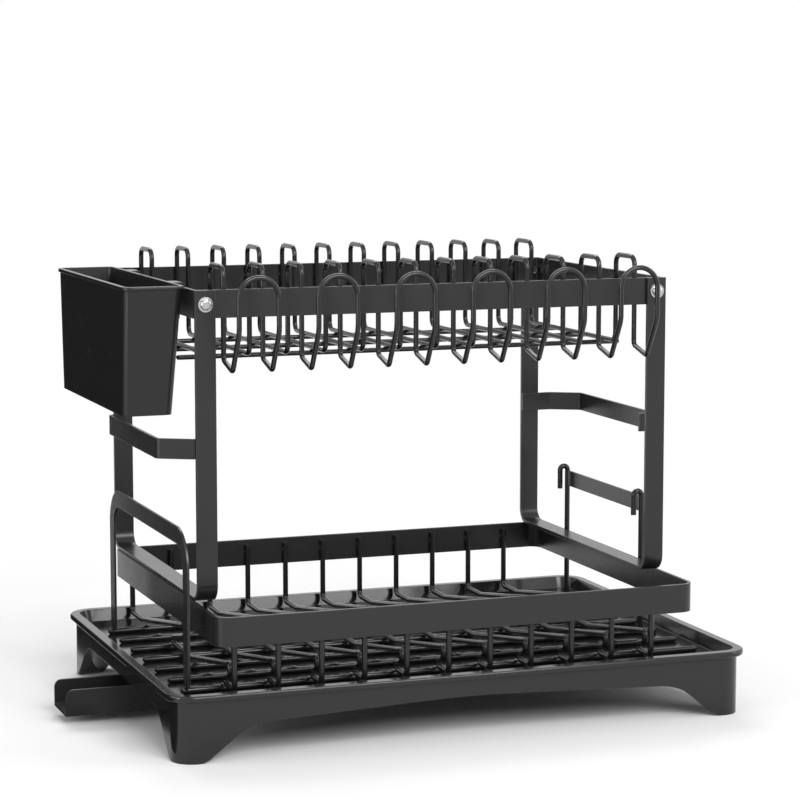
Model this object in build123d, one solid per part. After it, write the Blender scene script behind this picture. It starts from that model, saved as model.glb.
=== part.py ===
"""Two-tier dish drying rack over a legged drip tray, modelled piece by piece.

Millimetres, +Z up, front towards -Y. Pieces are laid out about the middle of the
drip tray, and the whole rack is then moved so that the origin lies on the table
under the middle of the overall box.
"""

import os

from build123d import *

# Drip tray
TRAY_WIDTH = 476.0
TRAY_DEPTH = 346.0
TRAY_HEIGHT = 52.0
TRAY_CORNER = 22.0
LIP_OVERHANG = 5.0
LIP_HEIGHT = 5.0
LIP_EDGE_ROUND = 1.6
LIP_WIDTH = 8.0
BASIN_DEPTH = 10.0
TRAY_FLOOR_THICK = 2.5
BASIN_DRAFT = 16.0
SKIRT_WALL = 2.5
LEG_INNER_ROUND = 60.0
LEG_FRONT_FOOT = 22.0
LEG_SIDE_FOOT = 20.0
LEG_FRONT_SWEEP = 36.0
LEG_SIDE_SWEEP = 34.0
FRONT_ARCH_DROP = 5.0
FRONT_ARCH_CROWN = 7.0
SIDE_ARCH_DROP = 7.5
ARCH_FRONT_ROUND = 45.0
ARCH_SIDE_ROUND = 38.0
ARCH_CROWN_ROUND = 1000.0
LEG_TOE_ROUND = 14.0
TRIM_BELOW_FEET = 6.0

# Drain nozzle and the spout that swivels on it
DRAIN_INSET = 88.0
NOZZLE_RADIUS = 11.0
NOZZLE_BORE = 8.5
NOZZLE_TIP_GAP = 10.0
SHOULDER_RADIUS = 15.0
SPOUT_WIDTH = 41.0
SPOUT_OVERHANG = 44.0
SPOUT_ARCH_GAP = 4.0
SPOUT_HEIGHT = 21.0
SPOUT_WALL = 2.0
SPOUT_LIP_ROUND = 6.0
HUB_PLATE_THICK = 2.4
HUB_PLATE_LENGTH = 24.0
CLIP_THICK = 3.0
CLIP_RADIUS = 14.5
RUNNING_CLEARANCE = 0.08
SWIVEL_CLEARANCE = 0.3

# Clearance left where a round wire is welded against its neighbour
WELD_GAP = 0.05

# Lower basket
RIM_SIDE_SETBACK = 41.0
RIM_FRONT_SETBACK = 20.0
RIM_REAR_SETBACK = 11.0
LOWER_RIM_RISE = 33.65
LOWER_RIM_HEIGHT = 22.5
LOWER_RIM_THICK = 2.5
LOWER_RIM_CORNER = 12.0
LOWER_WIRE = 4.5
LOWER_WIRE_COUNT = 11
LOWER_WIRE_LEFT_MARGIN = 14.5
LOWER_WIRE_RIGHT_MARGIN = 36.5
LOWER_WIRE_BEND = 5.0
LOWER_WIRE_TOP_INSET = 4.0
FLOOR_ROD_COUNT = 7
FLOOR_ROD_FRONT_MARGIN = 34.3
FLOOR_ROD_REAR_MARGIN = 53.9
FLOOR_ROD_END_SETBACK = 24.0

# Plate dividers bent into each lower wire, measured along the floor from the rim:
# the wire turns back at the return, rises to the tip and slopes down to the end
DIVIDER_TIP_BEND = 3.6
DIVIDER_TIP_GAP = 9.0
FRONT_RETURN_FROM_RIM = 46.0
FRONT_TIP_FROM_RIM = 16.0
FRONT_TIP_RISE = 8.5
FRONT_SLOPE_FROM_RIM = 123.0
REAR_RETURN_FROM_RIM = 112.0
REAR_TIP_FROM_RIM = 173.5
REAR_TIP_RISE = 13.0
REAR_SLOPE_FROM_RIM = 37.0
DIVIDER_FOOT_BEND = 6.0

# Side frames: one bent flat bar each, front post, foot run and rear post
BAR_WIDTH = 16.0
BAR_THICK = 3.0
BAR_BEND = 12.0
FRAME_INSET = 1.5
FRONT_POST_SETBACK = 60.5

# Upper rack
TIER_RISE = 239.0
UPPER_RIM_HEIGHT = 21.5
UPPER_RIM_THICK = 2.5
UPPER_RIM_CORNER = 3.5
UPPER_WIRE = 4.0
UPPER_WIRE_PAIRS = 6
UPPER_WIRE_MARGIN = 24.2
UPPER_FLOOR_DROP = 54.0
LOOP_RISE = 16.5
LOOP_DEPTH = 35.0
LOOP_BEND = 7.0
REAR_WIRE_END_DROP = 44.0
UPPER_ROD_COUNT = 3
UPPER_ROD_FRONT_MARGIN = 72.5
UPPER_ROD_REAR_MARGIN = 58.0
UPPER_ROD_OVERHANG = 16.7

# Glass hoops at the front: each joins two neighbouring wires of the upper rack
HOOP_DIP = 6.5
HOOP_DIP_REACH = 24.0
HOOP_REACH = 42.0
HOOP_SHOULDER_DROP = 30.0
HOOP_RISE = 13.0
HOOP_DIP_BEND = 4.0
HOOP_FOOT_BEND = 4.5
HOOP_SHOULDER_BEND = 18.0

# Left guard: one flat bar bent into an upright loop beside the lower basket
GUARD_BAR = 13.3
GUARD_THICK = 1.8
GUARD_BEND = 24.0
GUARD_END_INSET = 3.0
LEFT_GUARD_RISE = 61.0
LEFT_GUARD_SPAN_COUNT = 6

# Right guard: two hooked wires close to the rim, with a flat bar between them
RIGHT_GUARD_GAP = 1.75
RIGHT_GUARD_RISE = 60.0
RIGHT_GUARD_SPAN_COUNT = 4
RIGHT_HOOK_WIDTH = 7.0
RIGHT_HOOK_DROP = 22.0
RIGHT_BAR_DROP = 6.0

# Board brackets on the posts
BRACKET_HEIGHT = 15.5
BRACKET_THICK = 2.5
BRACKET_SLANT_OUT = 24.5
BRACKET_SLANT_ALONG = 14.0
BRACKET_RUN = 164.0
BRACKET_LIP = 14.0
BRACKET_BEND = 4.0
LEFT_BRACKET_REACH = 25.5
RIGHT_BRACKET_REACH = 35.5
LEFT_BRACKET_RISE = 118.5
RIGHT_BRACKET_RISE = 109.5

# Cutlery caddy, hung on the left side of the upper rim
CADDY_SETBACK = 7.5
CADDY_LENGTH = 222.0
CADDY_GAP = 5.5
CADDY_WIDTH = 46.0
CADDY_RISE = 3.0
CADDY_HEIGHT = 98.5
CADDY_TAPER_END = 8.0
CADDY_TAPER_SIDE = 7.0
CADDY_WALL = 2.0
CADDY_CORNER = 7.0
CADDY_LIP = 1.5
CADDY_LIP_HEIGHT = 3.0
HOOK_WIDTH = 18.0
HOOK_THICK = 2.5
HOOK_DROP = 14.0
HOOK_FROM_END = 45.0
HOOK_CLEARANCE = 0.4

# Fasteners
BOLT_SHANK = 5.0
BOLT_HOLE = 5.4
BOLT_FLANGE = 11.6
BOLT_FLANGE_THICK = 1.2
BOLT_DOME = 8.6
BOLT_DOME_HEIGHT = 2.6
NUT_ACROSS_FLATS = 8.0
NUT_THICK = 4.0

# Sizes and places worked out from the ones above
LOWER_WIRE_R = LOWER_WIRE / 2
UPPER_WIRE_R = UPPER_WIRE / 2
TRAY_FLOOR_Z = TRAY_HEIGHT - BASIN_DEPTH
ARCH_FRONT_Z = TRAY_FLOOR_Z - TRAY_FLOOR_THICK - FRONT_ARCH_DROP
ARCH_SIDE_Z = TRAY_FLOOR_Z - TRAY_FLOOR_THICK - SIDE_ARCH_DROP
DRAIN_X = DRAIN_INSET - TRAY_WIDTH / 2
SPOUT_REACH = DRAIN_INSET + SPOUT_OVERHANG
SPOUT_TOP_Z = ARCH_SIDE_Z - SPOUT_ARCH_GAP
SPOUT_BOTTOM_Z = SPOUT_TOP_Z - SPOUT_HEIGHT
NOZZLE_TIP_Z = SPOUT_BOTTOM_Z + NOZZLE_TIP_GAP
FLOOR_ROD_Z = TRAY_FLOOR_Z + LOWER_WIRE_R + WELD_GAP
FLOOR_ROD_HALF_LENGTH = TRAY_WIDTH / 2 - FLOOR_ROD_END_SETBACK
LOWER_FLOOR_Z = FLOOR_ROD_Z + LOWER_WIRE + WELD_GAP
LOWER_RIM_WIDTH = TRAY_WIDTH - 2 * RIM_SIDE_SETBACK
LOWER_RIM_FRONT_Y = RIM_FRONT_SETBACK - TRAY_DEPTH / 2
LOWER_RIM_REAR_Y = TRAY_DEPTH / 2 - RIM_REAR_SETBACK
LOWER_RIM_DEPTH = LOWER_RIM_REAR_Y - LOWER_RIM_FRONT_Y
LOWER_RIM_Z = LOWER_FLOOR_Z + LOWER_RIM_RISE
LOWER_RIM_TOP_Z = LOWER_RIM_Z + LOWER_RIM_HEIGHT
LOWER_WIRE_SPREAD = LOWER_RIM_WIDTH - LOWER_WIRE_LEFT_MARGIN - LOWER_WIRE_RIGHT_MARGIN
LOWER_WIRE_PITCH = LOWER_WIRE_SPREAD / (LOWER_WIRE_COUNT - 1)
FLOOR_ROD_SPREAD = LOWER_RIM_DEPTH - FLOOR_ROD_FRONT_MARGIN - FLOOR_ROD_REAR_MARGIN
FLOOR_ROD_PITCH = FLOOR_ROD_SPREAD / (FLOOR_ROD_COUNT - 1)
FRAME_OUTER_X = LOWER_RIM_WIDTH / 2 - FRAME_INSET
POST_X = FRAME_OUTER_X - BAR_WIDTH / 2
FRONT_POST_Y = LOWER_RIM_FRONT_Y + FRONT_POST_SETBACK
REAR_POST_Y = LOWER_RIM_REAR_Y
FRONT_BAR_Y = FRONT_POST_Y - BAR_THICK / 2
REAR_BAR_Y = REAR_POST_Y + BAR_THICK / 2
FRAME_RUN_Z = LOWER_RIM_TOP_Z + BAR_THICK / 2
UPPER_RIM_TOP_Z = LOWER_RIM_TOP_Z + TIER_RISE
UPPER_RIM_Z = UPPER_RIM_TOP_Z - UPPER_RIM_HEIGHT
BOLT_Z = UPPER_RIM_TOP_Z - UPPER_RIM_HEIGHT / 2
UPPER_FLOOR_Z = UPPER_RIM_TOP_Z - UPPER_FLOOR_DROP
UPPER_WIRE_SPREAD = 2 * (FRAME_OUTER_X - UPPER_WIRE_MARGIN)
UPPER_WIRE_PITCH = UPPER_WIRE_SPREAD / (2 * UPPER_WIRE_PAIRS - 1)
UPPER_ROD_SPREAD = REAR_POST_Y - FRONT_POST_Y - UPPER_ROD_FRONT_MARGIN - UPPER_ROD_REAR_MARGIN
UPPER_ROD_PITCH = UPPER_ROD_SPREAD / (UPPER_ROD_COUNT - 1)
UPPER_ROD_HALF_LENGTH = UPPER_WIRE_SPREAD / 2 + UPPER_ROD_OVERHANG
RIGHT_GUARD_X = LOWER_RIM_WIDTH / 2 + RIGHT_GUARD_GAP + LOWER_WIRE_R
LEFT_BRACKET_X = FRAME_OUTER_X + LEFT_BRACKET_REACH
RIGHT_BRACKET_X = FRAME_OUTER_X + RIGHT_BRACKET_REACH
CADDY_OUTER_X = -(FRAME_OUTER_X + CADDY_GAP + CADDY_WIDTH)
CADDY_FRONT_Y = FRONT_POST_Y + CADDY_SETBACK
CADDY_TOP_Z = UPPER_RIM_TOP_Z + CADDY_RISE
ORIGIN_SHIFT = SPOUT_OVERHANG / 2


def floor_rod_y(index):
    """Place of a floor rod, counted from the front."""
    return LOWER_RIM_FRONT_Y + FLOOR_ROD_FRONT_MARGIN + index * FLOOR_ROD_PITCH


def slab(width, depth, corner, low, high, middle=(0, 0)):
    """Upright block with rounded vertical edges."""
    outline = Pos(middle[0], middle[1], low) * RectangleRounded(width, depth, corner)
    return extrude(outline, amount=high - low)


def hoop(width, depth, corner, thick, low, high, middle=(0, 0)):
    """Flat bar on edge, closed into a rounded rectangle."""
    inner = slab(width - 2 * thick, depth - 2 * thick, corner - thick, low, high, middle)
    return slab(width, depth, corner, low, high, middle) - inner


def bent_wire(points, bends, diameter):
    """Round wire along straight runs joined by tangent bends."""
    path = FilletPolyline(*points, radius=bends)
    section = Plane(origin=path @ 0, z_dir=path % 0) * Circle(diameter / 2)
    return sweep(section, path=path)


def bent_bar(points, bend, across, across_size, other_size):
    """Flat bar along straight runs joined by bends, with one side held along across."""
    path = FilletPolyline(*points, radius=bend)
    start = Plane(origin=path @ 0, x_dir=across, z_dir=path % 0)
    return sweep(start * Rectangle(across_size, other_size), path=path)


def round_rod(start, end, diameter):
    """Straight rod with ball ends."""
    axis = Vector(*end) - Vector(*start)
    shank = extrude(Plane(origin=start, z_dir=axis) * Circle(diameter / 2), amount=axis.length)
    return shank + Pos(*start) * Sphere(diameter / 2) + Pos(*end) * Sphere(diameter / 2)


def drill(point, direction, diameter, length):
    """Cylinder through a point, half its length to each side."""
    circle = Plane(origin=point, z_dir=direction) * Circle(diameter / 2)
    return extrude(circle, amount=length / 2, both=True)


def leg_arch(half_span, foot, sweep_width, top, toe, shoulder, crown=0):
    """Outline of the gap between two legs, crowned in the middle, with the ground trimmed off."""
    beyond = half_span * 1.2
    outer = half_span - foot
    inner = outer - sweep_width
    middle = [(0, top)] if crown else []
    points = [
        (-beyond, -2 * TRIM_BELOW_FEET),
        (-beyond, 0),
        (-outer, 0),
        (-inner, top - crown),
        *middle,
        (inner, top - crown),
        (outer, 0),
        (beyond, 0),
        (beyond, -2 * TRIM_BELOW_FEET),
    ]
    bends = [0, toe, shoulder, *[ARCH_CROWN_ROUND for _ in middle], shoulder, toe, 0]
    edge = FilletPolyline(*points, radius=bends)
    return make_face(edge.edges() + [Line(points[-1], points[0])])


def make_drip_tray():
    """Moulded tray: lip, shallow basin, arched skirt with corner legs, drain nozzle."""
    skirt_width = TRAY_WIDTH - 2 * LIP_OVERHANG
    skirt_depth = TRAY_DEPTH - 2 * LIP_OVERHANG
    lip_low = TRAY_HEIGHT - LIP_HEIGHT
    lip = slab(TRAY_WIDTH, TRAY_DEPTH, TRAY_CORNER, lip_low, TRAY_HEIGHT)
    lip = fillet(lip.edges().filter_by(Plane.XY), LIP_EDGE_ROUND)
    skirt = slab(skirt_width, skirt_depth, TRAY_CORNER - LIP_OVERHANG, -TRIM_BELOW_FEET,
                 TRAY_HEIGHT - LIP_EDGE_ROUND)

    basin_top = Pos(0, 0, TRAY_HEIGHT) * RectangleRounded(
        TRAY_WIDTH - 2 * LIP_WIDTH, TRAY_DEPTH - 2 * LIP_WIDTH, TRAY_CORNER - LIP_WIDTH)
    basin = extrude(basin_top, amount=TRAY_FLOOR_Z - TRAY_HEIGHT, taper=BASIN_DRAFT)

    hollow = slab(skirt_width - 2 * SKIRT_WALL, skirt_depth - 2 * SKIRT_WALL, LEG_INNER_ROUND,
                  -2 * TRIM_BELOW_FEET, TRAY_FLOOR_Z - TRAY_FLOOR_THICK)
    front_gap = leg_arch(skirt_width / 2, LEG_FRONT_FOOT, LEG_FRONT_SWEEP, ARCH_FRONT_Z,
                         LEG_TOE_ROUND, ARCH_FRONT_ROUND, FRONT_ARCH_CROWN)
    side_gap = leg_arch(skirt_depth / 2, LEG_SIDE_FOOT, LEG_SIDE_SWEEP, ARCH_SIDE_Z,
                        LEG_TOE_ROUND, ARCH_SIDE_ROUND)
    front_cut = extrude(Plane.XZ * front_gap, amount=TRAY_DEPTH, both=True)
    side_cut = extrude(Plane.YZ * side_gap, amount=TRAY_WIDTH, both=True)

    tray = lip + skirt - basin - hollow - front_cut - side_cut
    under_floor = TRAY_FLOOR_Z - TRAY_FLOOR_THICK
    shoulder_low = SPOUT_TOP_Z + SWIVEL_CLEARANCE
    at_drain = Pos(DRAIN_X, 0, 0)
    shoulder = at_drain * slab_round(SHOULDER_RADIUS, shoulder_low, under_floor)
    nozzle = at_drain * slab_round(NOZZLE_RADIUS, NOZZLE_TIP_Z, under_floor)
    bore = at_drain * slab_round(NOZZLE_BORE, NOZZLE_TIP_Z - 1, TRAY_HEIGHT)
    return tray + shoulder + nozzle - bore


def slab_round(radius, low, high):
    """Upright cylinder between two heights."""
    return extrude(Pos(0, 0, low) * Circle(radius), amount=high - low)


def make_drain_spout():
    """Open trough with a round closed end, hung on the drain nozzle by its hub plate."""
    top = SPOUT_TOP_Z
    half = SPOUT_WIDTH / 2
    outline = Pos(-SPOUT_REACH / 2, 0, 0) * Rectangle(SPOUT_REACH, SPOUT_WIDTH) + Circle(half)
    inside = half - SPOUT_WALL
    channel = (Pos(-SPOUT_REACH / 2 - SPOUT_WALL, 0, 0) * Rectangle(SPOUT_REACH, 2 * inside)
               + Pos(-SPOUT_WALL, 0, 0) * Circle(inside))
    channel += Circle(inside)
    trough = extrude(Pos(0, 0, SPOUT_BOTTOM_Z) * outline, amount=SPOUT_HEIGHT)
    trough -= extrude(Pos(0, 0, SPOUT_BOTTOM_Z + SPOUT_WALL) * channel, amount=SPOUT_HEIGHT)
    mouth_tops = trough.edges().filter_by(Axis.Y).group_by(Axis.X)[0].group_by(Axis.Z)[-1]
    trough = fillet(mouth_tops, SPOUT_LIP_ROUND)
    plate_outline = outline & (Pos(half - HUB_PLATE_LENGTH, 0, 0) * Rectangle(
        2 * HUB_PLATE_LENGTH, 2 * SPOUT_WIDTH))
    plate = extrude(Pos(0, 0, top - HUB_PLATE_THICK) * plate_outline, amount=HUB_PLATE_THICK)
    hole = slab_round(NOZZLE_RADIUS + RUNNING_CLEARANCE, SPOUT_BOTTOM_Z + SPOUT_WALL, top)
    return Pos(DRAIN_X, 0, 0) * (trough + plate - hole)


def make_spout_clip():
    """Ring pushed onto the nozzle under the hub plate, so that the spout can't drop."""
    high = SPOUT_TOP_Z - HUB_PLATE_THICK - SWIVEL_CLEARANCE
    low = high - CLIP_THICK
    ring = slab_round(CLIP_RADIUS, low, high) - slab_round(NOZZLE_RADIUS + WELD_GAP, low, high)
    return Pos(DRAIN_X, 0, 0) * ring


def make_lower_rim():
    """Flat bar hoop of the lower basket."""
    middle = (0, LOWER_RIM_FRONT_Y + LOWER_RIM_DEPTH / 2)
    return hoop(LOWER_RIM_WIDTH, LOWER_RIM_DEPTH, LOWER_RIM_CORNER, LOWER_RIM_THICK,
                LOWER_RIM_Z, LOWER_RIM_TOP_Z, middle)


def make_lower_wire(index):
    """Basket wire: down the front, two plate dividers along the floor, up the rear."""
    x = LOWER_WIRE_LEFT_MARGIN - LOWER_RIM_WIDTH / 2 + index * LOWER_WIRE_PITCH
    stand_off = LOWER_RIM_THICK + LOWER_WIRE_R + WELD_GAP
    front = LOWER_RIM_FRONT_Y + stand_off
    rear = LOWER_RIM_REAR_Y - stand_off
    top = LOWER_RIM_TOP_Z - LOWER_WIRE_TOP_INSET
    low = LOWER_FLOOR_Z
    front_tip = LOWER_RIM_FRONT_Y + FRONT_TIP_FROM_RIM
    rear_tip = LOWER_RIM_REAR_Y - REAR_TIP_FROM_RIM
    profile = [
        (front, top, 0),
        (front, low, LOWER_WIRE_BEND),
        (LOWER_RIM_FRONT_Y + FRONT_RETURN_FROM_RIM, low, DIVIDER_FOOT_BEND / 2),
        (front_tip, low + FRONT_TIP_RISE, DIVIDER_TIP_BEND),
        (front_tip, low + FRONT_TIP_RISE + DIVIDER_TIP_GAP, DIVIDER_TIP_BEND),
        (LOWER_RIM_FRONT_Y + FRONT_SLOPE_FROM_RIM, low, DIVIDER_FOOT_BEND),
        (LOWER_RIM_REAR_Y - REAR_RETURN_FROM_RIM, low, DIVIDER_FOOT_BEND / 2),
        (rear_tip, low + REAR_TIP_RISE, DIVIDER_TIP_BEND),
        (rear_tip, low + REAR_TIP_RISE + DIVIDER_TIP_GAP, DIVIDER_TIP_BEND),
        (LOWER_RIM_REAR_Y - REAR_SLOPE_FROM_RIM, low, DIVIDER_FOOT_BEND),
        (rear, low, LOWER_WIRE_BEND),
        (rear, top, 0),
    ]
    points = [(x, y, z) for y, z, bend in profile]
    bends = [bend for y, z, bend in profile[1:-1]]
    return bent_wire(points, bends, LOWER_WIRE)


def make_floor_rod(index):
    """Rod across the basket floor, under the wires and out past the rim on both sides."""
    y = floor_rod_y(index)
    start = (-FLOOR_ROD_HALF_LENGTH, y, FLOOR_ROD_Z)
    end = (FLOOR_ROD_HALF_LENGTH, y, FLOOR_ROD_Z)
    return round_rod(start, end, LOWER_WIRE)


def make_left_guard():
    """Upright flat loop welded onto two floor rods beside the basket."""
    foot = FLOOR_ROD_Z + LOWER_WIRE_R + WELD_GAP
    line_top = LOWER_RIM_TOP_Z + LEFT_GUARD_RISE - GUARD_BAR / 2
    rear = floor_rod_y(FLOOR_ROD_COUNT - 1)
    front = rear - LEFT_GUARD_SPAN_COUNT * FLOOR_ROD_PITCH
    x = GUARD_END_INSET - FLOOR_ROD_HALF_LENGTH
    points = [(x, front, foot), (x, front, line_top), (x, rear, line_top), (x, rear, foot)]
    return bent_bar(points, GUARD_BEND, (1, 0, 0), GUARD_THICK, GUARD_BAR)


def right_guard_y(end):
    """Rod that carries a hook of the right guard: end 0 in front, end 1 behind."""
    rear = floor_rod_y(FLOOR_ROD_COUNT - 1)
    return rear - (1 - end) * RIGHT_GUARD_SPAN_COUNT * FLOOR_ROD_PITCH


def make_right_guard_hook(end):
    """Wire up from a floor rod, bent over towards the basket and down a short way."""
    foot = FLOOR_ROD_Z + LOWER_WIRE_R + WELD_GAP
    line_top = LOWER_RIM_TOP_Z + RIGHT_GUARD_RISE - LOWER_WIRE_R
    y = right_guard_y(end)
    inner_x = RIGHT_GUARD_X - RIGHT_HOOK_WIDTH
    points = [
        (RIGHT_GUARD_X, y, foot),
        (RIGHT_GUARD_X, y, line_top),
        (inner_x, y, line_top),
        (inner_x, y, line_top - RIGHT_HOOK_DROP + LOWER_WIRE_R),
    ]
    bend = RIGHT_HOOK_WIDTH / 2 - WELD_GAP
    return bent_wire(points, [bend, bend], LOWER_WIRE)


def make_right_guard_bar():
    """Flat bar on edge, welded between the two hooked wires."""
    stand_off = LOWER_WIRE_R + WELD_GAP
    front = right_guard_y(0) + stand_off
    rear = right_guard_y(1) - stand_off
    top = LOWER_RIM_TOP_Z + RIGHT_GUARD_RISE - RIGHT_BAR_DROP
    middle = Pos(RIGHT_GUARD_X, (front + rear) / 2, top - GUARD_BAR / 2)
    return middle * Box(GUARD_THICK, rear - front, GUARD_BAR)


def make_side_frame(side):
    """Bent bar: front post, foot run on the lower rim, rear post, with its holes."""
    x = side * POST_X
    points = [
        (x, FRONT_BAR_Y, UPPER_RIM_TOP_Z),
        (x, FRONT_BAR_Y, FRAME_RUN_Z),
        (x, REAR_BAR_Y, FRAME_RUN_Z),
        (x, REAR_BAR_Y, UPPER_RIM_TOP_Z),
    ]
    frame = bent_bar(points, BAR_BEND, (1, 0, 0), BAR_WIDTH, BAR_THICK)
    for y in (FRONT_BAR_Y, REAR_BAR_Y):
        frame -= drill((x, y, BOLT_Z), (0, 1, 0), BOLT_HOLE, 2 * BAR_THICK)
    return frame


def bracket_seat(side):
    """Post face that a bracket is welded to, its outer line and its height, as (y, x, z)."""
    if side < 0:
        return FRONT_POST_Y, LEFT_BRACKET_X, LOWER_RIM_TOP_Z + LEFT_BRACKET_RISE
    return REAR_POST_Y, RIGHT_BRACKET_X, LOWER_RIM_TOP_Z + RIGHT_BRACKET_RISE


def make_board_bracket(side):
    """Flat strip from a post, out at a slant, along the side and back in, that steadies a board."""
    face_y, reach_x, z = bracket_seat(side)
    inward = -side
    along = inward * BRACKET_THICK / 2 + face_y
    out_y = along + inward * BRACKET_SLANT_ALONG
    end_y = along + inward * BRACKET_RUN
    inner_x = side * (FRAME_OUTER_X - BAR_WIDTH)
    points = [
        (inner_x, along, z),
        (side * (reach_x - BRACKET_SLANT_OUT), along, z),
        (side * reach_x, out_y, z),
        (side * reach_x, end_y, z),
        (side * (reach_x - BRACKET_LIP), end_y, z),
    ]
    return bent_bar(points, BRACKET_BEND, (0, 0, 1), BRACKET_HEIGHT, BRACKET_THICK)


def make_upper_rim():
    """Flat bar hoop of the upper rack, held between the posts."""
    depth = REAR_POST_Y - FRONT_POST_Y
    middle_y = (REAR_POST_Y + FRONT_POST_Y) / 2
    rim = hoop(2 * FRAME_OUTER_X, depth, UPPER_RIM_CORNER, UPPER_RIM_THICK,
               UPPER_RIM_Z, UPPER_RIM_TOP_Z, (0, middle_y))
    for side in (-1, 1):
        rim -= drill((side * POST_X, middle_y, BOLT_Z), (0, 1, 0), BOLT_HOLE, 2 * depth)
    return rim


def make_upper_wire(pair):
    """Two rack wires with their plate loops, joined at the front by one glass hoop."""
    first_x = 2 * pair * UPPER_WIRE_PITCH - UPPER_WIRE_SPREAD / 2
    second_x = first_x + UPPER_WIRE_PITCH
    stand_off = UPPER_RIM_THICK + UPPER_WIRE_R + WELD_GAP
    front = FRONT_POST_Y + stand_off
    rear = REAR_POST_Y - stand_off
    floor = UPPER_FLOOR_Z
    top = UPPER_RIM_TOP_Z + LOOP_RISE
    profile = [
        (rear, UPPER_RIM_TOP_Z - REAR_WIRE_END_DROP, 0),
        (rear, top, LOOP_BEND),
        (rear - LOOP_DEPTH, top, LOOP_BEND),
        (rear - LOOP_DEPTH, floor, LOOP_BEND),
        (front + LOOP_DEPTH, floor, LOOP_BEND),
        (front + LOOP_DEPTH, top, LOOP_BEND),
        (front, top, LOOP_BEND),
        (front, floor, HOOP_FOOT_BEND),
        (front - HOOP_DIP_REACH, floor - HOOP_DIP, HOOP_DIP_BEND),
        (front - HOOP_REACH, UPPER_RIM_TOP_Z - HOOP_SHOULDER_DROP, HOOP_SHOULDER_BEND),
        (front - HOOP_REACH, UPPER_RIM_TOP_Z + HOOP_RISE - UPPER_WIRE_R, UPPER_WIRE_PITCH / 2 - WELD_GAP),
    ]
    there = [(first_x, y, z) for y, z, bend in profile]
    back = [(second_x, y, z) for y, z, bend in reversed(profile)]
    bends = [bend for y, z, bend in profile[1:]]
    return bent_wire(there + back, bends + bends[::-1], UPPER_WIRE)


def make_upper_rod(index):
    """Rod across the upper rack, welded under its wires."""
    y = FRONT_POST_Y + UPPER_ROD_FRONT_MARGIN + index * UPPER_ROD_PITCH
    z = UPPER_FLOOR_Z - UPPER_WIRE - WELD_GAP
    return round_rod((-UPPER_ROD_HALF_LENGTH, y, z), (UPPER_ROD_HALF_LENGTH, y, z), UPPER_WIRE)


def tapered_cup(inset, low, high):
    """Caddy body, smaller below than above, drawn in by inset on every side."""
    outlines = []
    for z in (low, high):
        share = (CADDY_TOP_Z - z) / CADDY_HEIGHT
        side_in = CADDY_TAPER_SIDE * share
        end_in = CADDY_TAPER_END * share
        width = CADDY_WIDTH - side_in - 2 * inset
        length = CADDY_LENGTH - 2 * end_in - 2 * inset
        middle_x = CADDY_OUTER_X + (CADDY_WIDTH - side_in) / 2
        middle_y = CADDY_FRONT_Y + CADDY_LENGTH / 2
        outlines.append(Pos(middle_x, middle_y, z) * RectangleRounded(width, length, CADDY_CORNER - inset))
    return loft(outlines)


def make_cutlery_caddy():
    """Tapered open box with a rolled lip and two hooks over the upper rim."""
    bottom = CADDY_TOP_Z - CADDY_HEIGHT
    body = tapered_cup(0, bottom, CADDY_TOP_Z)
    lip_low = CADDY_TOP_Z - CADDY_LIP_HEIGHT
    middle = (CADDY_OUTER_X + CADDY_WIDTH / 2, CADDY_FRONT_Y + CADDY_LENGTH / 2)
    lip = slab(CADDY_WIDTH + 2 * CADDY_LIP, CADDY_LENGTH + 2 * CADDY_LIP, CADDY_CORNER + CADDY_LIP,
               lip_low, CADDY_TOP_Z, middle)
    lip = fillet(lip.edges().filter_by(Plane.XY), CADDY_LIP * 0.6)
    cavity = tapered_cup(CADDY_WALL, bottom + CADDY_WALL, CADDY_TOP_Z)
    caddy = body + lip - cavity

    inner_wall = CADDY_OUTER_X + CADDY_WIDTH - CADDY_WALL / 2
    hook_z = UPPER_RIM_TOP_Z + HOOK_CLEARANCE + HOOK_THICK / 2
    hook_x = -FRAME_OUTER_X + UPPER_RIM_THICK + HOOK_CLEARANCE + HOOK_THICK / 2
    drop_z = UPPER_RIM_TOP_Z - HOOK_DROP
    for y in (CADDY_FRONT_Y + HOOK_FROM_END, CADDY_FRONT_Y + CADDY_LENGTH - HOOK_FROM_END):
        points = [(inner_wall, y, hook_z), (hook_x, y, hook_z), (hook_x, y, drop_z)]
        caddy += bent_bar(points, HOOK_THICK * 0.6, (0, 1, 0), HOOK_WIDTH, HOOK_THICK)
    return caddy


def dome_screw(seat, direction, shank_length):
    """Flanged dome-head screw: the head stands on its seat, the shank goes the other way."""
    up = Plane(origin=seat, z_dir=direction)
    flange = extrude(up * Circle(BOLT_FLANGE / 2), amount=BOLT_FLANGE_THICK)
    shank = extrude(up * Circle(BOLT_SHANK / 2), amount=-shank_length)
    dome = extrude(up.offset(BOLT_FLANGE_THICK) * Circle(BOLT_DOME / 2), amount=BOLT_DOME_HEIGHT)
    dome = fillet(dome.faces().sort_by(Axis(seat, direction))[-1].edges(), BOLT_DOME_HEIGHT * 0.8)
    return flange + shank + dome


def hex_nut(seat, direction):
    """Plain nut standing on its seat, with a hole that clears the screw."""
    up = Plane(origin=seat, z_dir=direction)
    outline = up * RegularPolygon(NUT_ACROSS_FLATS / 2, 6, major_radius=False)
    hole = up * Circle(BOLT_SHANK / 2 + WELD_GAP)
    return extrude(outline, amount=NUT_THICK) - extrude(hole, amount=NUT_THICK)


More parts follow.
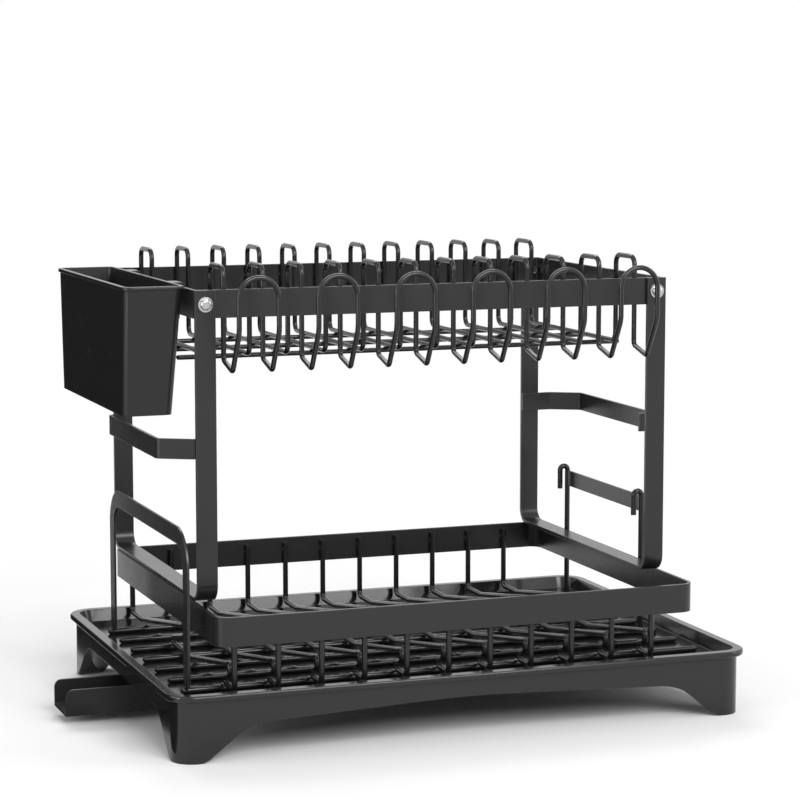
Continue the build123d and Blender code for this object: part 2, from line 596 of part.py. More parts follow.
def rim_bolt_places():
    """Seat, outward direction and inner face of each bolt between a post and the upper rim."""
    places = []
    for side in (-1, 1):
        x = side * POST_X
        front = (x, FRONT_POST_Y - BAR_THICK, BOLT_Z), (0, -1, 0), (x, FRONT_POST_Y + UPPER_RIM_THICK, BOLT_Z)
        rear = (x, REAR_POST_Y + BAR_THICK, BOLT_Z), (0, 1, 0), (x, REAR_POST_Y - UPPER_RIM_THICK, BOLT_Z)
        places += [front, rear]
    return places


def make_rim_bolts():
    """Bolts that hold the upper rim between the posts."""
    length = BAR_THICK + UPPER_RIM_THICK + NUT_THICK
    return [dome_screw(seat, out, length) for seat, out, inner in rim_bolt_places()]


def make_rim_nuts():
    """Nuts of the rim bolts, inside the upper rim."""
    return [hex_nut(inner, tuple(-c for c in out)) for seat, out, inner in rim_bolt_places()]


def all_pieces():
    """Every node of the rack by name."""
    pieces = {
        "drip_tray": make_drip_tray(),
        "drain_spout": make_drain_spout(),
        "spout_clip": make_spout_clip(),
        "lower_rim": make_lower_rim(),
        "left_side_frame": make_side_frame(-1),
        "right_side_frame": make_side_frame(1),
        "left_guard": make_left_guard(),
        "right_guard_hook_1": make_right_guard_hook(0),
        "right_guard_hook_2": make_right_guard_hook(1),
        "right_guard_bar": make_right_guard_bar(),
        "left_board_bracket": make_board_bracket(-1),
        "right_board_bracket": make_board_bracket(1),
        "upper_rim": make_upper_rim(),
        "cutlery_caddy": make_cutlery_caddy(),
        "rim_bolts": make_rim_bolts(),
        "rim_nuts": make_rim_nuts(),
    }
    for index in range(LOWER_WIRE_COUNT):
        pieces[f"lower_wire_{index + 1:02d}"] = make_lower_wire(index)
    for index in range(FLOOR_ROD_COUNT):
        pieces[f"floor_rod_{index + 1}"] = make_floor_rod(index)
    for pair in range(UPPER_WIRE_PAIRS):
        pieces[f"upper_wire_{pair + 1}"] = make_upper_wire(pair)
    for index in range(UPPER_ROD_COUNT):
        pieces[f"upper_rod_{index + 1}"] = make_upper_rod(index)
    return pieces


def main():
    """Write one STEP file for each node, in the rack's own frame."""
    os.makedirs("parts", exist_ok=True)
    for name, piece in all_pieces().items():
        solids = piece if isinstance(piece, list) else piece.solids()
        placed = [Pos(ORIGIN_SHIFT, 0, 0) * solid for solid in solids]
        node = placed[0] if len(placed) == 1 else Compound(children=placed)
        node.label = name
        export_step(node, f"parts/{name}.step")


if __name__ == "__main__":
    main()
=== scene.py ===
"""Looks of a black two-tier dish rack: finishes, weld beads, studio and camera.

Every length is in metres in the rack's own frame: +X right, +Y back, +Z up, with the
origin on the table under the middle of the overall box.
"""

import logging
import math
from dataclasses import dataclass, field
from enum import Enum

import bpy
import numpy as np
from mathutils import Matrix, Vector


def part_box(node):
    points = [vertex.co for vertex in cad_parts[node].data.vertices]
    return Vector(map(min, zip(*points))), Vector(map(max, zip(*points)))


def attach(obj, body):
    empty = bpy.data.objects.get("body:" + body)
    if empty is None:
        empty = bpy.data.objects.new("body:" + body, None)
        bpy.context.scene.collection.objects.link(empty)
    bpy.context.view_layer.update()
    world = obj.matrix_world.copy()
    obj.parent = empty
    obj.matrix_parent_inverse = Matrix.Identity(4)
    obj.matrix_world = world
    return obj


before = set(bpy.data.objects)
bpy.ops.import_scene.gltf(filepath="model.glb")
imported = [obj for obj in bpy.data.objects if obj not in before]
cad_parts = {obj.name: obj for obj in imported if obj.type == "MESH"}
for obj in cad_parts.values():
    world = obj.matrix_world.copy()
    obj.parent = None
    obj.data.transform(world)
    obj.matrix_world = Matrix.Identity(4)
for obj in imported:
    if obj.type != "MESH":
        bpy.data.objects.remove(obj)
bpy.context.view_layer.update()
LOG = logging.getLogger("dish_rack")

Triple = tuple[float, float, float]
Arrays = tuple[np.ndarray, np.ndarray]
BACK: Triple = (0.0, 1.0, 0.0)
UP: Triple = (0.0, 0.0, 1.0)

# Noise of the shared effects, as (cells per metre, detail).
BROAD_NOISE = (34.0, 5.0)
PATCH_NOISE = (95.0, 4.0)
FINE_DETAIL = 3.0
# Likeness of the sharp and the rounded normal where the lighter edge (rubbed wear and painted highlight)
# starts, and where it is full.
EDGE_LIMITS = (0.999, 0.86)
# Noise values between which the lighter edge (rubbed wear and painted highlight) fades in, and the share of
# it that is left everywhere.
PATCH_LIMITS = (0.38, 0.66)
PATCH_LEAST = 0.25
# Upward part of the normal where dust begins, and the dust's linear colour.
DUST_FACING = 0.3
DUST_COLOUR = (0.36, 0.35, 0.33, 1.0)
# Rays that shade one rounded edge.
EDGE_SAMPLES = 4


class Grain(Enum):
    """Named surface textures, as (cells per metre, bump height in metres)."""

    POWDER = (2600.0, 0.00004)
    MOULD = (1500.0, 0.00002)
    PLATED = (420.0, 0.000004)


def socket(group: bpy.types.NodeTree, name: str, way: str, kind: str, value: float | None = None) -> None:
    """Adds one named socket to a node group.

    Args:
        group: the node group.
        name: the socket's name.
        way: INPUT or OUTPUT.
        kind: the socket type, such as NodeSocketFloat.
        value: the default of a number input.
    """
    made = group.interface.new_socket(name=name, in_out=way, socket_type=kind)
    if value is not None:
        made.default_value = value


def add(tree: bpy.types.NodeTree, kind: str, **settings: object) -> bpy.types.Node:
    """Adds a node and sets its plain properties.

    Args:
        tree: the node tree.
        kind: the node's type name.
        settings: properties to set on the node.

    Returns:
        The new node.
    """
    node = tree.nodes.new(kind)
    for name, value in settings.items():
        setattr(node, name, value)
    return node


class SharedEffects:
    """Node groups that several finishes use."""

    def __init__(self) -> None:
        """Builds both groups once."""
        self.grain = self.build_grain()
        self.wear_and_highlight = self.build_wear_and_highlight()

    def build_grain(self) -> bpy.types.NodeTree:
        """Fine surface texture: a height from two noises, and a roughness that wanders a little.

        Returns:
            The group, with outputs Height and Roughness.
        """
        group = bpy.data.node_groups.new("coat_grain", "ShaderNodeTree")
        socket(group, "Cells", "INPUT", "NodeSocketFloat", 2000.0)
        socket(group, "Roughness", "INPUT", "NodeSocketFloat", 0.4)
        socket(group, "Spread", "INPUT", "NodeSocketFloat", 0.08)
        socket(group, "Height", "OUTPUT", "NodeSocketFloat")
        socket(group, "Roughness", "OUTPUT", "NodeSocketFloat")
        link = group.links.new
        given = add(group, "NodeGroupInput")
        out = add(group, "NodeGroupOutput")
        place = add(group, "ShaderNodeTexCoord")
        fine = add(group, "ShaderNodeTexNoise")
        fine.inputs["Detail"].default_value = FINE_DETAIL
        broad = add(group, "ShaderNodeTexNoise")
        broad.inputs["Scale"].default_value, broad.inputs["Detail"].default_value = BROAD_NOISE
        link(place.outputs["Object"], fine.inputs["Vector"])
        link(place.outputs["Object"], broad.inputs["Vector"])
        link(given.outputs["Cells"], fine.inputs["Scale"])
        centred = add(group, "ShaderNodeMath", operation="SUBTRACT")
        centred.inputs[1].default_value = 0.5
        wander = add(group, "ShaderNodeMath", operation="MULTIPLY_ADD")
        link(broad.outputs["Fac"], centred.inputs[0])
        link(centred.outputs[0], wander.inputs[0])
        link(given.outputs["Spread"], wander.inputs[1])
        link(given.outputs["Roughness"], wander.inputs[2])
        link(fine.outputs["Fac"], out.inputs["Height"])
        link(wander.outputs[0], out.inputs["Roughness"])
        return group

    def build_wear_and_highlight(self) -> bpy.types.NodeTree:
        """Edge wear with painted edge highlight, and dust: lighter on edges, with faint dust on what faces
        up.

        The edge mask compares the surface normal with one rounded over a small radius,
        breaks it up with noise, and mixes in a lighter colour, partly rubbed wear and partly painted
        highlight.

        Returns:
            The group, with output Color.
        """
        group = bpy.data.node_groups.new("edge_wear_and_highlight", "ShaderNodeTree")
        socket(group, "Base", "INPUT", "NodeSocketColor")
        socket(group, "Rubbed_and_highlight", "INPUT", "NodeSocketColor")
        socket(group, "Dust", "INPUT", "NodeSocketFloat", 0.02)
        socket(group, "Radius", "INPUT", "NodeSocketFloat", 0.0006)
        socket(group, "Color", "OUTPUT", "NodeSocketColor")
        link = group.links.new
        given = add(group, "NodeGroupInput")
        out = add(group, "NodeGroupOutput")
        place = add(group, "ShaderNodeTexCoord")
        surface = add(group, "ShaderNodeNewGeometry")
        rounded = add(group, "ShaderNodeBevel", samples=EDGE_SAMPLES)
        link(given.outputs["Radius"], rounded.inputs["Radius"])
        alike = add(group, "ShaderNodeVectorMath", operation="DOT_PRODUCT")
        link(surface.outputs["Normal"], alike.inputs[0])
        link(rounded.outputs["Normal"], alike.inputs[1])
        edge = add(group, "ShaderNodeMapRange")
        edge.inputs["From Min"].default_value, edge.inputs["From Max"].default_value = EDGE_LIMITS
        link(alike.outputs["Value"], edge.inputs["Value"])
        patches = add(group, "ShaderNodeTexNoise")
        patches.inputs["Scale"].default_value, patches.inputs["Detail"].default_value = PATCH_NOISE
        link(place.outputs["Object"], patches.inputs["Vector"])
        broken = add(group, "ShaderNodeMapRange")
        broken.inputs["From Min"].default_value, broken.inputs["From Max"].default_value = PATCH_LIMITS
        broken.inputs["To Min"].default_value = PATCH_LEAST
        link(patches.outputs["Fac"], broken.inputs["Value"])
        mask = add(group, "ShaderNodeMath", operation="MULTIPLY")
        link(edge.outputs["Result"], mask.inputs[0])
        link(broken.outputs["Result"], mask.inputs[1])
        # Lighter colour on the edges: partly rubbed wear, partly painted highlight where rounded edges
        # would catch the light.
        rub_and_highlight = add(group, "ShaderNodeMix", data_type="RGBA")
        link(mask.outputs[0], rub_and_highlight.inputs["Factor"])
        link(given.outputs["Base"], rub_and_highlight.inputs["A"])
        link(given.outputs["Rubbed_and_highlight"], rub_and_highlight.inputs["B"])
        facing = add(group, "ShaderNodeSeparateXYZ")
        link(surface.outputs["Normal"], facing.inputs[0])
        upward = add(group, "ShaderNodeMapRange")
        upward.inputs["From Min"].default_value = DUST_FACING
        link(facing.outputs["Z"], upward.inputs["Value"])
        settle = add(group, "ShaderNodeMath", operation="MULTIPLY")
        link(upward.outputs["Result"], settle.inputs[0])
        link(given.outputs["Dust"], settle.inputs[1])
        clouds = add(group, "ShaderNodeMath", operation="MULTIPLY")
        link(settle.outputs[0], clouds.inputs[0])
        link(patches.outputs["Fac"], clouds.inputs[1])
        dusty = add(group, "ShaderNodeMix", data_type="RGBA")
        dusty.inputs["B"].default_value = DUST_COLOUR
        link(clouds.outputs[0], dusty.inputs["Factor"])
        link(rub_and_highlight.outputs["Result"], dusty.inputs["A"])
        link(dusty.outputs["Result"], out.inputs["Color"])
        return group


@dataclass(frozen=True)
class Finish:
    """One finish of the rack.

    Attributes:
        name: the material's name.
        base: linear colour of the finish.
        rubbed_and_highlight: lighter linear colour on its edges, partly rubbed wear and partly painted
            highlight.
        grain: the surface texture.
        roughness: middle value of the roughness.
        spread: how far the roughness wanders.
        dust: amount of dust on what faces up.
        metallic: 1 for bare metal.
        specular: level of the plain reflection.
        edge_round: radius that edges are shaded with, in metres.
    """

    name: str
    base: Triple
    rubbed_and_highlight: Triple
    grain: Grain
    roughness: float
    spread: float
    dust: float
    metallic: float
    specular: float
    edge_round: float

    def build(self, effects: SharedEffects) -> bpy.types.Material:
        """Makes the material.

        Args:
            effects: the shared node groups.

        Returns:
            The finished material.
        """
        cells, height = self.grain.value
        material = bpy.data.materials.new(self.name)
        material.use_nodes = True
        tree = material.node_tree
        link = tree.links.new
        shader = tree.nodes["Principled BSDF"]
        shader.inputs["Metallic"].default_value = self.metallic
        shader.inputs["Specular IOR Level"].default_value = self.specular
        texture = add(tree, "ShaderNodeGroup", node_tree=effects.grain)
        texture.inputs["Cells"].default_value = cells
        texture.inputs["Roughness"].default_value = self.roughness
        texture.inputs["Spread"].default_value = self.spread
        wear_and_highlight = add(tree, "ShaderNodeGroup", node_tree=effects.wear_and_highlight)
        wear_and_highlight.inputs["Base"].default_value = (*self.base, 1.0)
        # Lighter colour on the edges: partly rubbed wear, partly painted edge highlight.
        wear_and_highlight.inputs["Rubbed_and_highlight"].default_value = (*self.rubbed_and_highlight, 1.0)
        wear_and_highlight.inputs["Dust"].default_value = self.dust
        wear_and_highlight.inputs["Radius"].default_value = self.edge_round
        rounded = add(tree, "ShaderNodeBevel", samples=EDGE_SAMPLES)
        rounded.inputs["Radius"].default_value = self.edge_round
        bump = add(tree, "ShaderNodeBump")
        bump.inputs["Strength"].default_value = 1.0
        bump.inputs["Distance"].default_value = height
        link(texture.outputs["Height"], bump.inputs["Height"])
        link(rounded.outputs["Normal"], bump.inputs["Normal"])
        link(bump.outputs["Normal"], shader.inputs["Normal"])
        link(texture.outputs["Roughness"], shader.inputs["Roughness"])
        link(wear_and_highlight.outputs["Color"], shader.inputs["Base Color"])
        return material


# Each finish's rubbed colour is lighter than its base: edge wear and painted edge highlight.
POWDER_COAT = Finish(
    "black_powder_coat", base=(0.014, 0.014, 0.0148), rubbed_and_highlight=(0.09, 0.09, 0.092), grain=Grain.POWDER,
    roughness=0.25, spread=0.08, dust=0.010, metallic=0.0, specular=0.40, edge_round=0.0008)
WIRE_COAT = Finish(
    "black_wire_coat", base=(0.008, 0.008, 0.0085), rubbed_and_highlight=(0.05, 0.05, 0.052), grain=Grain.POWDER,
    roughness=0.20, spread=0.08, dust=0.006, metallic=0.0, specular=0.42, edge_round=0.0003)
TRAY_MOULDING = Finish(
    "black_tray_moulding", base=(0.009, 0.009, 0.0095), rubbed_and_highlight=(0.07, 0.07, 0.072), grain=Grain.MOULD,
    roughness=0.14, spread=0.06, dust=0.006, metallic=0.0, specular=0.46, edge_round=0.0010)
CADDY_MOULDING = Finish(
    "black_caddy_moulding", base=(0.010, 0.010, 0.0105), rubbed_and_highlight=(0.07, 0.07, 0.072), grain=Grain.MOULD,
    roughness=0.26, spread=0.08, dust=0.008, metallic=0.0, specular=0.36, edge_round=0.0010)
SPOUT_MOULDING = Finish(
    "black_spout_moulding", base=(0.016, 0.016, 0.017), rubbed_and_highlight=(0.07, 0.07, 0.072), grain=Grain.MOULD,
    roughness=0.30, spread=0.08, dust=0.010, metallic=0.0, specular=0.36, edge_round=0.0007)
BRIGHT_PLATE = Finish(
    "bright_plated_steel", base=(0.50, 0.50, 0.515), rubbed_and_highlight=(0.70, 0.70, 0.70), grain=Grain.PLATED,
    roughness=0.12, spread=0.10, dust=0.004, metallic=1.0, specular=0.5, edge_round=0.0003)

NAMED_FINISHES = {
    "drip_tray": TRAY_MOULDING,
    "cutlery_caddy": CADDY_MOULDING,
    "drain_spout": SPOUT_MOULDING,
    "spout_clip": SPOUT_MOULDING,
    "rim_bolts": BRIGHT_PLATE,
    "rim_nuts": BRIGHT_PLATE,
}
WIRE_WORDS = ("wire", "rod", "hook")


@dataclass
class NodeDresser:
    """Gives each solid of the frame its finish.

    Attributes:
        effects: the shared node groups.
        made: materials by finish name.
    """

    effects: SharedEffects
    made: dict[str, bpy.types.Material] = field(default_factory=dict)

    def finish_of(self, node: str) -> Finish:
        """Picks the finish for a node by its name.

        Args:
            node: the node's name.

        Returns:
            The finish.
        """
        thin = any(word in node for word in WIRE_WORDS)
        return NAMED_FINISHES.get(node, WIRE_COAT if thin else POWDER_COAT)

    def material(self, finish: Finish) -> bpy.types.Material:
        """Returns the material of a finish, made on first use.

        Args:
            finish: the finish.

        Returns:
            Its material.
        """
        if finish.name not in self.made:
            self.made[finish.name] = finish.build(self.effects)
        return self.made[finish.name]

    def dress(self, node: str, piece: bpy.types.Object) -> None:
        """Puts a node's finish on its object.

        Args:
            node: the node's name.
            piece: its object.
        """
        piece.data.materials.clear()
        piece.data.materials.append(self.material(self.finish_of(node)))


def grid_faces(rows: int, columns: int, copies: int) -> np.ndarray:
    """Quads of many alike grids that close around their second direction.

    Face (i, j) joins points (i, j), (i, j+1), (i+1, j+1) and (i+1, j), with j counted
    round the loop, and each copy starts rows * columns points after the one before.

    Args:
        rows: points along the first direction.
        columns: points round the second direction.
        copies: how many grids.

    Returns:
        Array of shape (faces, 4).
    """
    i, j = np.meshgrid(np.arange(rows - 1), np.arange(columns), indexing="ij")
    after = (j + 1) % columns
    row, row_after = i * columns, (i + 1) * columns
    quads = np.stack([row + j, row + after, row_after + after, row_after + j], -1)
    start = np.arange(copies)[:, None, None] * rows * columns
    return (quads.reshape(1, -1, 4) + start).reshape(-1, 4)


def mesh_object(name: str, points: np.ndarray, faces: np.ndarray) -> bpy.types.Object:
    """Makes a smooth mesh object from whole arrays.

    Args:
        name: the piece's name.
        points: array of shape (n, 3).
        faces: array of shape (m, 4).

    Returns:
        The object, linked to the scene.
    """
    mesh = bpy.data.meshes.new(name)
    mesh.from_pydata(points.tolist(), [], faces.tolist())
    mesh.polygons.foreach_set("use_smooth", np.ones(len(faces), dtype=bool))
    mesh.update()
    piece = bpy.data.objects.new(name, mesh)
    bpy.context.collection.objects.link(piece)
    return piece


@dataclass
class WeldBeads:
    """Small beads of weld under the coat, where wires meet rods and rims.

    Attributes:
        half_length: half the bead's length.
        half_width: half its width.
        half_height: half its height.
        rings: points from pole to pole.
        sides: points round the bead.
        pole_angle: angle that the first and last ring keep from the poles.
    """

    half_length: float = 0.0034
    half_width: float = 0.0026
    half_height: float = 0.0011
    rings: int = 6
    sides: int = 10
    pole_angle: float = 0.04

    def beads(self, centres: np.ndarray, along: Triple, up: Triple) -> Arrays:
        """Ellipsoids: cos t along the bead, and sin t round it, stretched to the three half sizes.

        Args:
            centres: array of shape (n, 3).
            along: direction of the bead's length.
            up: direction of its height.

        Returns:
            Points and faces of all the beads.
        """
        t = np.linspace(self.pole_angle, math.pi - self.pole_angle, self.rings)[:, None]
        a = np.linspace(0.0, 2.0 * math.pi, self.sides, endpoint=False)[None, :]
        long_axis, high_axis = np.array(along), np.array(up)
        wide_axis = np.cross(high_axis, long_axis)
        shape = ((np.cos(t) * np.ones_like(a))[..., None] * long_axis * self.half_length
                 + (np.sin(t) * np.cos(a))[..., None] * wide_axis * self.half_width
                 + (np.sin(t) * np.sin(a))[..., None] * high_axis * self.half_height)
        points = (centres[:, None, :] + shape.reshape(1, -1, 3)).reshape(-1, 3)
        return points, grid_faces(self.rings, self.sides, len(centres))[:, ::-1]


def node_boxes(prefix: str) -> np.ndarray:
    """Boxes of the nodes with that prefix, in order of name.

    Args:
        prefix: start of the nodes' names.

    Returns:
        Array of shape (n, 2, 3), with the low and the high corner of each.
    """
    names = sorted(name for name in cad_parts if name.startswith(prefix))
    return np.array([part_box(name) for name in names])


def middles(prefix: str, axis: int) -> np.ndarray:
    """Middle coordinate of each node with that prefix, in order of name.

    Args:
        prefix: start of the nodes' names.
        axis: 0, 1 or 2.

    Returns:
        One coordinate per node.
    """
    return node_boxes(prefix).mean(axis=1)[:, axis]


def grid_points(xs: np.ndarray, ys: np.ndarray, z: float) -> np.ndarray:
    """Every pairing of the given coordinates, at one height.

    Args:
        xs: X coordinates.
        ys: Y coordinates.
        z: the height.

    Returns:
        Array of shape (n, 3).
    """
    x, y = np.meshgrid(xs, ys, indexing="ij")
    return np.stack([x.ravel(), y.ravel(), np.full(x.size, z)], -1)


@dataclass
class LowerBasketWelds:
    """Beads where the basket wires cross the floor rods and meet the lower rim.

    Attributes:
        beads: the bead on a crossing.
        seams: the upright bead on the rim.
    """

    beads: WeldBeads = field(default_factory=WeldBeads)
    seams: WeldBeads = field(default_factory=lambda: WeldBeads(0.007, 0.0027, 0.0011))

    def build(self) -> bpy.types.Object:
        """Works out every contact from the solids and puts a bead on it.

        Returns:
            One object with all the beads.
        """
        wire_x = middles("lower_wire_", 0)
        rod_y = middles("floor_rod_", 1)
        seam_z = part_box("floor_rod_1")[1][2]
        low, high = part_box("lower_wire_01")
        rim_low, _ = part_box("lower_rim")
        mid_z = (rim_low[2] + high[2]) / 2.0
        parts = [self.beads.beads(grid_points(wire_x, rod_y, seam_z), BACK, UP)]
        for seam_y in (low[1], high[1]):
            parts.append(self.seams.beads(grid_points(wire_x, np.array([seam_y]), mid_z), UP, BACK))
        return joined("lower_basket_welds", parts)


@dataclass
class UpperRackWelds:
    """Beads where the upper wires meet their rods and the upper rim.

    Attributes:
        beads: the bead on a crossing.
        seams: the upright bead on the rim.
        rim_wall: thickness of the rim's bar.
    """

    beads: WeldBeads = field(default_factory=lambda: WeldBeads(0.003, 0.0023, 0.001))
    seams: WeldBeads = field(default_factory=lambda: WeldBeads(0.0066, 0.0024, 0.001))
    rim_wall: float = 0.0025

    def build(self) -> bpy.types.Object:
        """Works out every contact from the solids and puts a bead on it.

        Returns:
            One object with all the beads.
        """
        rod_low, rod_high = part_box("upper_rod_1")
        half = (rod_high[2] - rod_low[2]) / 2.0
        corners = node_boxes("upper_wire_")
        wire_x = np.concatenate([corners[:, 0, 0] + half, corners[:, 1, 0] - half])
        rod_y = middles("upper_rod_", 1)
        rim_low, rim_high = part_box("upper_rim")
        mid_z = (rim_low[2] + rim_high[2]) / 2.0
        parts = [self.beads.beads(grid_points(wire_x, rod_y, rod_high[2]), BACK, UP)]
        for seam_y in (rim_low[1] + self.rim_wall, rim_high[1] - self.rim_wall):
            parts.append(self.seams.beads(grid_points(wire_x, np.array([seam_y]), mid_z), UP, BACK))
        return joined("upper_rack_welds", parts)


def joined(name: str, parts: list[Arrays]) -> bpy.types.Object:
    """Joins point and face arrays into one object.

    Args:
        name: the piece's name.
        parts: pairs of points and faces.

    Returns:
        The object.
    """
    counts = np.cumsum([0] + [len(points) for points, _ in parts[:-1]])
    points = np.concatenate([points for points, _ in parts])
    faces = np.concatenate([faces + start for (_, faces), start in zip(parts, counts)])
    return mesh_object(name, points, faces)


def shown_rays(tree: bpy.types.NodeTree) -> bpy.types.NodeSocket:
    """Tells rays that look at the background from those that only light.

    Args:
        tree: the node tree to add to.

    Returns:
        A socket that is 1 for camera, glossy and see-through rays.
    """
    rays = add(tree, "ShaderNodeLightPath")
    either = add(tree, "ShaderNodeMath", operation="MAXIMUM")
    tree.links.new(rays.outputs["Is Camera Ray"], either.inputs[0])
    tree.links.new(rays.outputs["Is Glossy Ray"], either.inputs[1])
    shown = add(tree, "ShaderNodeMath", operation="MAXIMUM")
    tree.links.new(either.outputs[0], shown.inputs[0])
    tree.links.new(rays.outputs["Is Transmission Ray"], shown.inputs[1])
    return shown.outputs[0]


@dataclass(frozen=True)
class Lamp:
    """One soft rectangular lamp.

    Attributes:
        name: the lamp's name.
        place: where it hangs.
        size: its width and height.
        watts: its power.
    """

    name: str
    place: Triple
    size: tuple[float, float]
    watts: float

    def hang(self, target: np.ndarray) -> None:
        """Hangs the lamp in the scene.

        Args:
            target: the point that it faces.
        """
        light = bpy.data.lights.new(self.name, "AREA")
        light.shape = "RECTANGLE"
        light.size, light.size_y = self.size
        light.energy = self.watts
        holder = bpy.data.objects.new(self.name, light)
        aim = target - np.array(self.place)
        flat = math.hypot(aim[0], aim[1])
        holder.location = self.place
        holder.rotation_euler = (math.atan2(flat, -aim[2]), 0.0, math.atan2(-aim[0], aim[1]))
        bpy.context.collection.objects.link(holder)


LAMPS = (
    Lamp("over_front", (0.35, -2.3, 1.6), (1.8, 1.4), 62.0),
    Lamp("left_side", (-2.1, 0.2, 1.1), (0.8, 1.4), 9.0),
    Lamp("right_side", (2.0, -0.8, 1.0), (0.8, 1.4), 12.0),
    Lamp("behind", (0.1, 1.7, 1.9), (2.2, 0.9), 30.0),
    Lamp("corner_strip", (-2.0, -0.75, 0.42), (0.28, 1.1), 13.0),
)


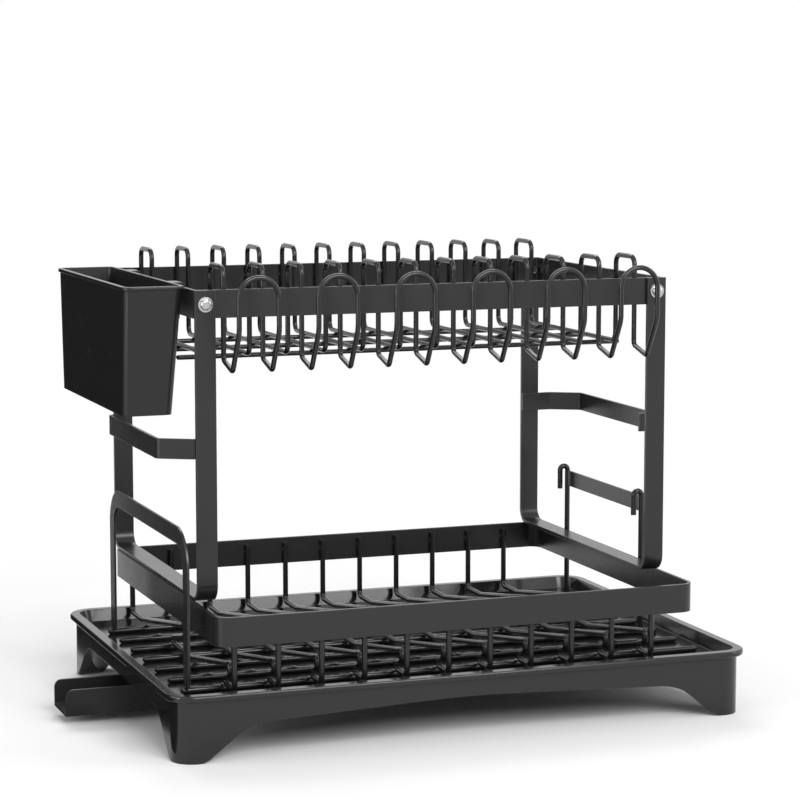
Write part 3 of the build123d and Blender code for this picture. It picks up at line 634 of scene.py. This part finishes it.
@dataclass
class Studio:
    """Pale floor, soft lights and the camera.

    Attributes:
        floor_reach: half the floor's width.
        floor_tone: grey of the floor.
        floor_roughness: roughness of the floor.
        floor_specular: level of its plain reflection.
        fade_from: distance from the origin where the floor starts to turn white.
        fade_to: distance where it is white.
        camera_at: the camera's place.
        yaw_deg: turn of the view to the right of +Y.
        pitch_deg: tilt of the view below the horizon.
        lens_mm: focal length.
        card_span: left and right end of the dark card.
        card_depth: front and back line of the dark card.
        card_heights: height of its lying and of its upper edge.
        card_tone: grey of the dark card.
        world_light: strength of the surroundings as light.
        lamp_target_z: height of the point that the lamps face.
        sensor_mm: width of the camera's sensor.
        view_end: distance where the camera's view ends.
    """

    floor_reach: float = 9.0
    floor_tone: float = 0.88
    floor_roughness: float = 0.9
    floor_specular: float = 0.1
    fade_from: float = 0.3
    fade_to: float = 0.85
    camera_at: Triple = (-0.696, -1.962, 0.498)
    yaw_deg: float = 20.19
    pitch_deg: float = 6.98
    lens_mm: float = 116.24
    card_span: tuple[float, float] = (-1.2, -0.23)
    card_depth: tuple[float, float] = (-0.15, 0.30)
    card_heights: tuple[float, float] = (0.001, 0.75)
    card_tone: float = 0.012
    world_light: float = 0.34
    lamp_target_z: float = 0.17
    sensor_mm: float = 36.0
    view_end: float = 60.0

    def floor(self) -> None:
        """Lays a flat floor, pale and matt under the rack and white further off.

        The matt surface takes the rack's shadow and lights the rack from below. The white
        further off is for camera, glossy and see-through rays only.
        """
        reach = self.floor_reach
        points = reach * np.array([[-1.0, -1.0, 0.0], [1.0, -1.0, 0.0], [1.0, 1.0, 0.0], [-1.0, 1.0, 0.0]])
        piece = mesh_object("studio_floor", points, np.array([[0, 1, 2, 3]]))
        material = bpy.data.materials.new("pale_floor")
        material.use_nodes = True
        shader = material.node_tree.nodes["Principled BSDF"]
        shader.inputs["Base Color"].default_value = (self.floor_tone, self.floor_tone, self.floor_tone, 1.0)
        shader.inputs["Roughness"].default_value = self.floor_roughness
        shader.inputs["Specular IOR Level"].default_value = self.floor_specular
        self.fade_to_white(material.node_tree, shader)
        piece.data.materials.append(material)

    def fade_to_white(self, tree: bpy.types.NodeTree, shader: bpy.types.Node) -> None:
        """Turns the floor plain white away from the rack, for what is looked at and reflected.

        Args:
            tree: the floor material's nodes.
            shader: its matt surface, which keeps the shadow near the rack.
        """
        link = tree.links.new
        place = add(tree, "ShaderNodeTexCoord")
        away = add(tree, "ShaderNodeVectorMath", operation="LENGTH")
        link(place.outputs["Object"], away.inputs[0])
        far = add(tree, "ShaderNodeMapRange", interpolation_type="SMOOTHSTEP")
        far.inputs["From Min"].default_value = self.fade_from
        far.inputs["From Max"].default_value = self.fade_to
        link(away.outputs["Value"], far.inputs["Value"])
        shown = shown_rays(tree)
        amount = add(tree, "ShaderNodeMath", operation="MULTIPLY")
        link(shown, amount.inputs[0])
        link(far.outputs["Result"], amount.inputs[1])
        white = add(tree, "ShaderNodeEmission")
        mix = add(tree, "ShaderNodeMixShader")
        link(amount.outputs[0], mix.inputs["Fac"])
        link(shader.outputs[0], mix.inputs[1])
        link(white.outputs[0], mix.inputs[2])
        link(mix.outputs[0], tree.nodes["Material Output"].inputs["Surface"])

    def dark_card(self) -> None:
        """Lays a black card on the left, bent up behind the rack, met only by mirrored rays.

        The camera, the light and the shadows pass it by, so that it only calms the white
        in the sides of the rack that are seen at a slant.
        """
        (left, right), (near, far) = self.card_span, self.card_depth
        low, top = self.card_heights
        points = np.array([[left, near, low], [right, near, low], [right, far, low], [left, far, low],
                           [right, far, top], [left, far, top]])
        piece = mesh_object("studio_dark_card", points, np.array([[0, 1, 2, 3], [3, 2, 4, 5]]))
        piece.data.polygons.foreach_set("use_smooth", np.zeros(2, dtype=bool))
        material = bpy.data.materials.new("dark_card")
        material.use_nodes = True
        shader = material.node_tree.nodes["Principled BSDF"]
        shader.inputs["Base Color"].default_value = (self.card_tone, self.card_tone, self.card_tone, 1.0)
        shader.inputs["Roughness"].default_value = 1.0
        shader.inputs["Specular IOR Level"].default_value = 0.0
        piece.data.materials.append(material)
        piece.visible_camera = False
        piece.visible_diffuse = False
        piece.visible_shadow = False
        piece.visible_transmission = False

    def world(self) -> None:
        """Even white surroundings for the light, with a plain white background to look at."""
        world = bpy.data.worlds.new("studio_world")
        bpy.context.scene.world = world
        world.use_nodes = True
        tree = world.node_tree
        tree.nodes.clear()
        link = tree.links.new
        out = add(tree, "ShaderNodeOutputWorld")
        seen = add(tree, "ShaderNodeBackground")
        seen.inputs["Color"].default_value = (1.0, 1.0, 1.0, 1.0)
        seen.inputs["Strength"].default_value = 1.0
        lit = add(tree, "ShaderNodeBackground")
        lit.inputs["Color"].default_value = (1.0, 1.0, 1.0, 1.0)
        lit.inputs["Strength"].default_value = self.world_light
        shown = shown_rays(tree)
        mix = add(tree, "ShaderNodeMixShader")
        link(shown, mix.inputs["Fac"])
        link(lit.outputs[0], mix.inputs[1])
        link(seen.outputs[0], mix.inputs[2])
        link(mix.outputs[0], out.inputs["Surface"])

    def lamps(self) -> None:
        """Hangs all the lamps, turned to the middle of the rack."""
        for lamp in LAMPS:
            lamp.hang(np.array([0.0, 0.0, self.lamp_target_z]))

    def camera(self) -> None:
        """Sets the camera at the fitted place, yaw and pitch."""
        data = bpy.data.cameras.new("photo_camera")
        data.sensor_width = self.sensor_mm
        data.lens = self.lens_mm
        data.clip_end = self.view_end
        holder = bpy.data.objects.new("photo_camera", data)
        holder.location = self.camera_at
        holder.rotation_euler = (math.radians(90.0 - self.pitch_deg), 0.0, math.radians(-self.yaw_deg))
        bpy.context.collection.objects.link(holder)
        bpy.context.scene.camera = holder

    def build(self) -> None:
        """Sets up the whole studio."""
        bpy.context.scene.view_settings.view_transform = "Standard"
        self.floor()
        self.dark_card()
        self.world()
        self.lamps()
        self.camera()


def main() -> None:
    """Dresses the solids, adds the welds and sets up the studio."""
    logging.basicConfig(level=logging.INFO)
    effects = SharedEffects()
    dresser = NodeDresser(effects)
    for node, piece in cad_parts.items():
        dresser.dress(node, piece)
        LOG.info("dressed %s as %s", node, dresser.finish_of(node).name)
    for welds in (LowerBasketWelds(), UpperRackWelds()):
        piece = welds.build()
        piece.data.materials.append(dresser.material(WIRE_COAT))
        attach(piece, "rack")
        LOG.info("made %s", piece.name)
    Studio().build()


if __name__ == "__main__":
    main()
